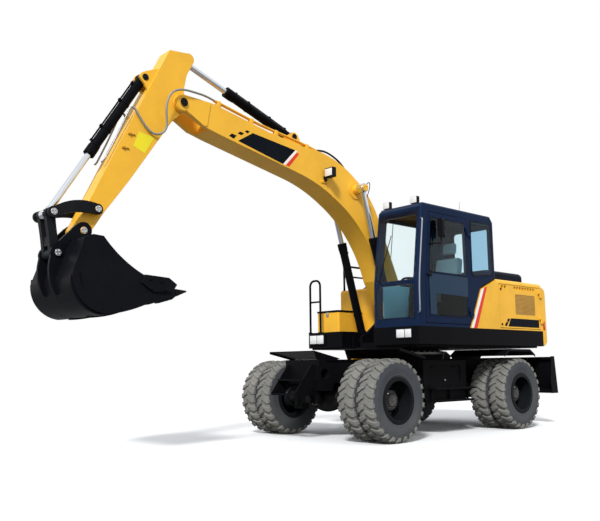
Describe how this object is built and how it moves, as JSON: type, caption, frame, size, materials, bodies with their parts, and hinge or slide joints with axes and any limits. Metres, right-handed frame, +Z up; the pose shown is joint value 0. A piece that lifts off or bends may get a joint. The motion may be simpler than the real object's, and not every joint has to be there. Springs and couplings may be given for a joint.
{
  "type": "wheeled excavator",
  "caption": "Wheeled excavator with a slewing cab and engine deck, boom, stick, bucket and linkage, twin wheels, steered front axle and a rear dozer blade.",
  "frame": {"origin": "on the ground, below the middle of the whole machine's box", "axes": "+X forward, towards the working arm; +Y left, the cab's side; +Z up"},
  "size_m": [8.163, 2.66, 4.7939],
  "materials": {
    "body_yellow": "gloss",
    "frame_black": "satin",
    "cab_navy": "gloss",
    "cast_black": "painted",
    "chrome_rod": "polished",
    "worn_steel": "worn",
    "tyre_rubber": "dusty",
    "rim_paint": "satin",
    "tinted_glass": "tinted",
    "black_plastic": "moulded",
    "seat_cloth": "woven",
    "lamp_glass": "clear",
    "engine_iron": "painted"
  },
  "bodies": {
    "undercarriage": {"chassis_frame": "frame_black", "swing_ring": "worn_steel", "front_axle": "cast_black", "rear_axle": "cast_black", "drive_line": "cast_black", "fenders": "frame_black", "side_steps": "frame_black", "front_step": "frame_black"},
    "knuckle_left": {"knuckle_left": "cast_black"},
    "knuckle_right": {"knuckle_right": "cast_black"},
    "blade": {"dozer_blade": "frame_black"},
    "blade_cylinder_barrels": {"blade_cylinder_barrels": "frame_black"},
    "blade_cylinder_rods": {"blade_cylinder_rods": "chrome_rod"},
    "upper_structure": {"upper_frame": "frame_black", "counterweight": "body_yellow", "engine_block": "engine_iron", "hood_body": "body_yellow", "fuel_tank": "body_yellow", "toolbox": "body_yellow", "handrails": "body_yellow", "cab_frame": "cab_navy", "cab_glass": "tinted_glass", "seat": "seat_cloth", "cab_controls": "black_plastic", "work_lights": "lamp_glass"},
    "engine_hood": {"engine_hood": "frame_black"},
    "left_side_door": {"left_side_door": "body_yellow"},
    "right_side_door": {"right_side_door": "body_yellow"},
    "toolbox_lid": {"toolbox_lid": "frame_black"},
    "cab_door": {"cab_door": "cab_navy", "door_glass": "tinted_glass", "mirrors": "black_plastic"},
    "boom": {"boom": "body_yellow", "boom_light": "lamp_glass"},
    "boom_cylinder_barrels": {"boom_cylinder_barrels": "frame_black"},
    "boom_cylinder_rods": {"boom_cylinder_rods": "chrome_rod"},
    "stick_cylinder_barrel": {"stick_cylinder_barrel": "frame_black"},
    "stick_cylinder_rod": {"stick_cylinder_rod": "chrome_rod"},
    "stick": {"stick": "body_yellow"},
    "bucket_cylinder_barrel": {"bucket_cylinder_barrel": "frame_black"},
    "bucket_cylinder_rod": {"bucket_cylinder_rod": "chrome_rod"},
    "rocker_links": {"rocker_links": "cast_black"},
    "bucket_link": {"bucket_link": "cast_black"},
    "bucket": {"bucket": "frame_black", "bucket_teeth": "worn_steel"},
    "wheels_front_left": {"tyres_front_left": "tyre_rubber", "rims_front_left": "rim_paint"},
    "wheels_front_right": {"tyres_front_right": "tyre_rubber", "rims_front_right": "rim_paint"},
    "wheels_rear_left": {"tyres_rear_left": "tyre_rubber", "rims_rear_left": "rim_paint"},
    "wheels_rear_right": {"tyres_rear_right": "tyre_rubber", "rims_rear_right": "rim_paint"}
  },
  "joints": [
    {"name": "steer_left", "type": "hinge", "parent": "undercarriage", "child": "knuckle_left", "pos_m": [-0.055, 0.6, 0.5275], "axis": [0, 0, 1], "range_deg": [-30, 30]},
    {"name": "steer_right", "type": "hinge", "parent": "undercarriage", "child": "knuckle_right", "pos_m": [-0.055, -0.6, 0.5275], "axis": [0, 0, 1], "range_deg": [-30, 30]},
    {"name": "wheel_front_left", "type": "hinge", "parent": "knuckle_left", "child": "wheels_front_left", "pos_m": [-0.055, 1, 0.5275], "axis": [0, 1, 0], "continuous": true},
    {"name": "wheel_front_right", "type": "hinge", "parent": "knuckle_right", "child": "wheels_front_right", "pos_m": [-0.055, -1, 0.5275], "axis": [0, 1, 0], "continuous": true},
    {"name": "wheel_rear_left", "type": "hinge", "parent": "undercarriage", "child": "wheels_rear_left", "pos_m": [-2.905, 1, 0.5275], "axis": [0, 1, 0], "continuous": true},
    {"name": "wheel_rear_right", "type": "hinge", "parent": "undercarriage", "child": "wheels_rear_right", "pos_m": [-2.905, -1, 0.5275], "axis": [0, 1, 0], "continuous": true},
    {"name": "blade_lift", "type": "hinge", "parent": "undercarriage", "child": "blade", "pos_m": [-3.13, 0, 0.55], "axis": [0, 1, 0], "range_deg": [-36, 5]},
    {"name": "blade_cylinder_swing", "type": "hinge", "parent": "undercarriage", "child": "blade_cylinder_barrels", "pos_m": [-3.23, 0, 0.99], "axis": [0, 1, 0], "range_deg": [-27, 5]},
    {"name": "blade_rod_travel", "type": "slide", "parent": "blade_cylinder_barrels", "child": "blade_cylinder_rods", "axis": [-0.8298, 0, -0.558], "range_m": [-0.05, 0.25]},
    {"name": "swing", "type": "hinge", "parent": "undercarriage", "child": "upper_structure", "pos_m": [-1.73, 0, 1.14], "axis": [0, 0, 1], "continuous": true},
    {"name": "hood_lift", "type": "hinge", "parent": "upper_structure", "child": "engine_hood", "pos_m": [-3.56, 0, 2.258], "axis": [0, -1, 0], "range_deg": [0, 60]},
    {"name": "left_side_door_hinge", "type": "hinge", "parent": "upper_structure", "child": "left_side_door", "pos_m": [-3.615, 1.26, 1.84], "axis": [0, 0, 1], "range_deg": [0, 90]},
    {"name": "right_side_door_hinge", "type": "hinge", "parent": "upper_structure", "child": "right_side_door", "pos_m": [-3.615, -1.26, 1.84], "axis": [0, 0, -1], "range_deg": [0, 90]},
    {"name": "toolbox_lid_hinge", "type": "hinge", "parent": "upper_structure", "child": "toolbox_lid", "pos_m": [-1.552, -0.975, 1.838], "axis": [0, -1, 0], "range_deg": [0, 85]},
    {"name": "cab_door_hinge", "type": "hinge", "parent": "upper_structure", "child": "cab_door", "pos_m": [-1.7, 1.262, 2.2], "axis": [0, 0, 1], "range_deg": [0, 150]},
    {"name": "boom_lift", "type": "hinge", "parent": "upper_structure", "child": "boom", "pos_m": [-1.51, 0, 1.7], "axis": [0, -1, 0], "range_deg": [-66, 27]},
    {"name": "boom_cylinder_swing", "type": "hinge", "parent": "upper_structure", "child": "boom_cylinder_barrels", "pos_m": [-1.15, 0, 1.33], "axis": [0, -1, 0], "range_deg": [-66, 28]},
    {"name": "boom_rod_travel", "type": "slide", "parent": "boom_cylinder_barrels", "child": "boom_cylinder_rods", "axis": [0.2869, 0, 0.9579], "range_m": [-0.6, 0.3]},
    {"name": "stick_crowd", "type": "hinge", "parent": "boom", "child": "stick", "pos_m": [2.468, 0, 4.115], "axis": [0, 1, 0], "range_deg": [-64, 50]},
    {"name": "stick_cylinder_swing", "type": "hinge", "parent": "boom", "child": "stick_cylinder_barrel", "pos_m": [0.6, 0, 4.1], "axis": [0, 1, 0], "range_deg": [-3, 3]},
    {"name": "stick_rod_travel", "type": "slide", "parent": "stick_cylinder_barrel", "child": "stick_cylinder_rod", "axis": [0.9426, 0, 0.3339], "range_m": [-0.65, 0.55]},
    {"name": "bucket_curl", "type": "hinge", "parent": "stick", "child": "bucket", "pos_m": [3.67, 0, 2.415], "axis": [0, 1, 0], "range_deg": [-110, 40]},
    {"name": "rocker_swing", "type": "hinge", "parent": "stick", "child": "rocker_links", "pos_m": [3.537, 0, 2.658], "axis": [0, 1, 0], "range_deg": [-90, 35]},
    {"name": "bucket_link_swing", "type": "hinge", "parent": "bucket", "child": "bucket_link", "pos_m": [3.949, 0, 2.15], "axis": [0, 1, 0], "range_deg": [-25, 65]},
    {"name": "bucket_cylinder_swing", "type": "hinge", "parent": "stick", "child": "bucket_cylinder_barrel", "pos_m": [2.93, 0, 4.343], "axis": [0, 1, 0], "range_deg": [-3, 3]},
    {"name": "bucket_rod_travel", "type": "slide", "parent": "bucket_cylinder_barrel", "child": "bucket_cylinder_rod", "axis": [0.5241, 0, -0.8516], "range_m": [-0.62, 0.25]}
  ],
  "couplings": [
    {"joint": "steer_right", "follows": "steer_left", "ratio": 1},
    {"joint": "blade_cylinder_swing", "follows": "blade_lift", "ratio": 0.7},
    {"joint": "blade_rod_travel", "follows": "blade_lift", "m_per_rad": -0.371},
    {"joint": "boom_cylinder_swing", "follows": "boom_lift", "ratio": 0.9588},
    {"joint": "boom_rod_travel", "follows": "boom_lift", "m_per_rad": 0.4658},
    {"joint": "stick_cylinder_swing", "follows": "stick_crowd", "ratio": 0.0125},
    {"joint": "stick_rod_travel", "follows": "stick_crowd", "m_per_rad": 0.5319},
    {"joint": "rocker_swing", "follows": "bucket_curl", "ratio": 0.8},
    {"joint": "bucket_link_swing", "follows": "bucket_curl", "ratio": -0.55},
    {"joint": "bucket_cylinder_swing", "follows": "bucket_curl", "ratio": 0.01},
    {"joint": "bucket_rod_travel", "follows": "bucket_curl", "m_per_rad": 0.3}
  ]
}
